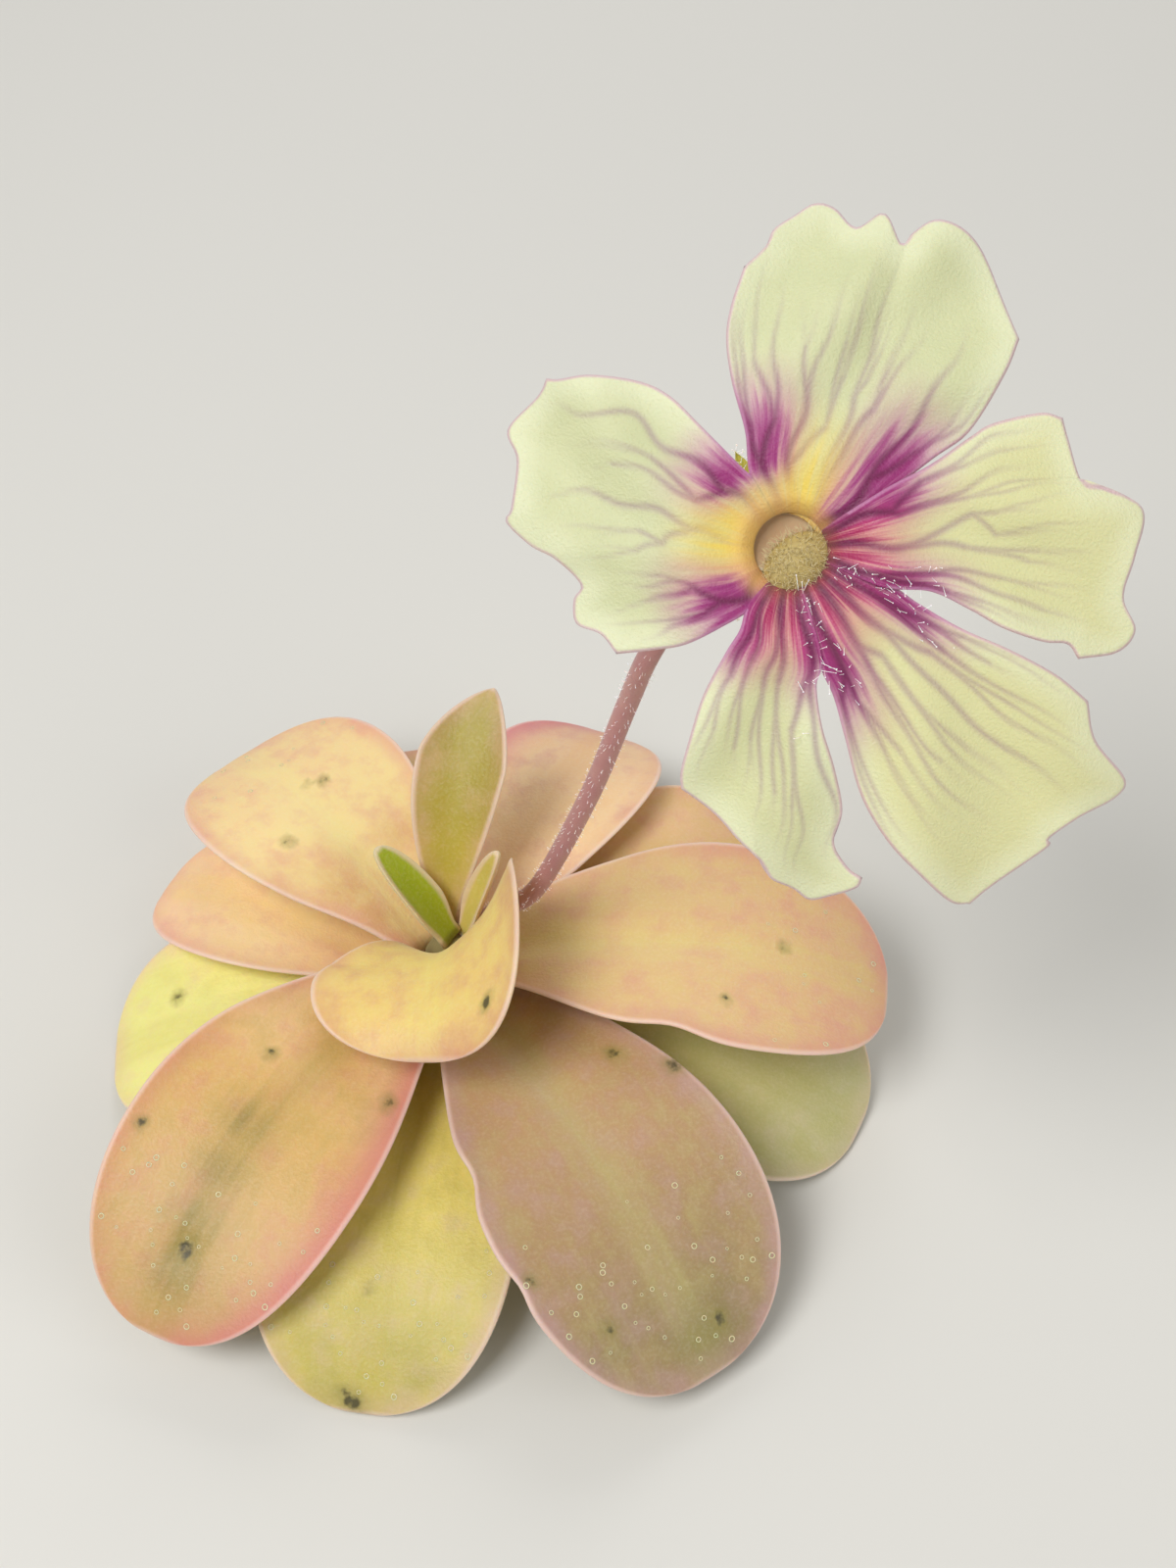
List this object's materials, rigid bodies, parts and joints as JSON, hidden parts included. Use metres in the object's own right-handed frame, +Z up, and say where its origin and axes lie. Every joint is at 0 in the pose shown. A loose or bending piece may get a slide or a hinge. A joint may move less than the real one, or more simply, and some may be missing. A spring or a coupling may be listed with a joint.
{
  "type": "butterwort plant",
  "caption": "Butterwort in flower: a flat rosette of fleshy leaves on a short crown, with a broad, lobed and veined flower on a leafless stalk.",
  "frame": {"origin": "centre of the crown's flat foot, on the surface that the plant lies on", "axes": "+Z up from the foot to the flower, -Y towards the front, where the flower faces, +X to the right as seen from the front"},
  "size_m": [0.085, 0.0747, 0.0939],
  "materials": {
    "leaf_blush": "fleshy leaf, soft sheen",
    "leaf_yellow": "fleshy leaf, soft sheen",
    "leaf_young": "young leaf, soft sheen",
    "crown_tissue": "matt",
    "scape_skin": "satin",
    "petal_cream": "soft matt petal",
    "sepal_green": "soft sheen",
    "pistil_green": "moist",
    "anther_cream": "powdery"
  },
  "bodies": {
    "root": {"crown": "crown_tissue", "leaf_back_low_left": "leaf_blush", "leaf_back_low_right": "leaf_blush", "leaf_left_low": "leaf_yellow", "leaf_right_low": "leaf_yellow", "leaf_front_low": "leaf_yellow", "leaf_back_right_low": "leaf_blush", "leaf_left_middle": "leaf_blush", "leaf_front_right": "leaf_blush", "leaf_back": "leaf_blush", "leaf_front_left": "leaf_blush", "leaf_back_right": "leaf_blush", "leaf_right": "leaf_blush", "leaf_back_left": "leaf_blush", "leaf_front_small": "leaf_blush", "leaf_upright": "leaf_yellow", "leaf_young": "leaf_young", "leaf_young_narrow": "leaf_yellow", "scape": "scape_skin", "corolla": "petal_cream", "calyx": "sepal_green", "pistil": "pistil_green", "stamen_left": "anther_cream", "stamen_right": "anther_cream"}
  },
  "joints": []
}
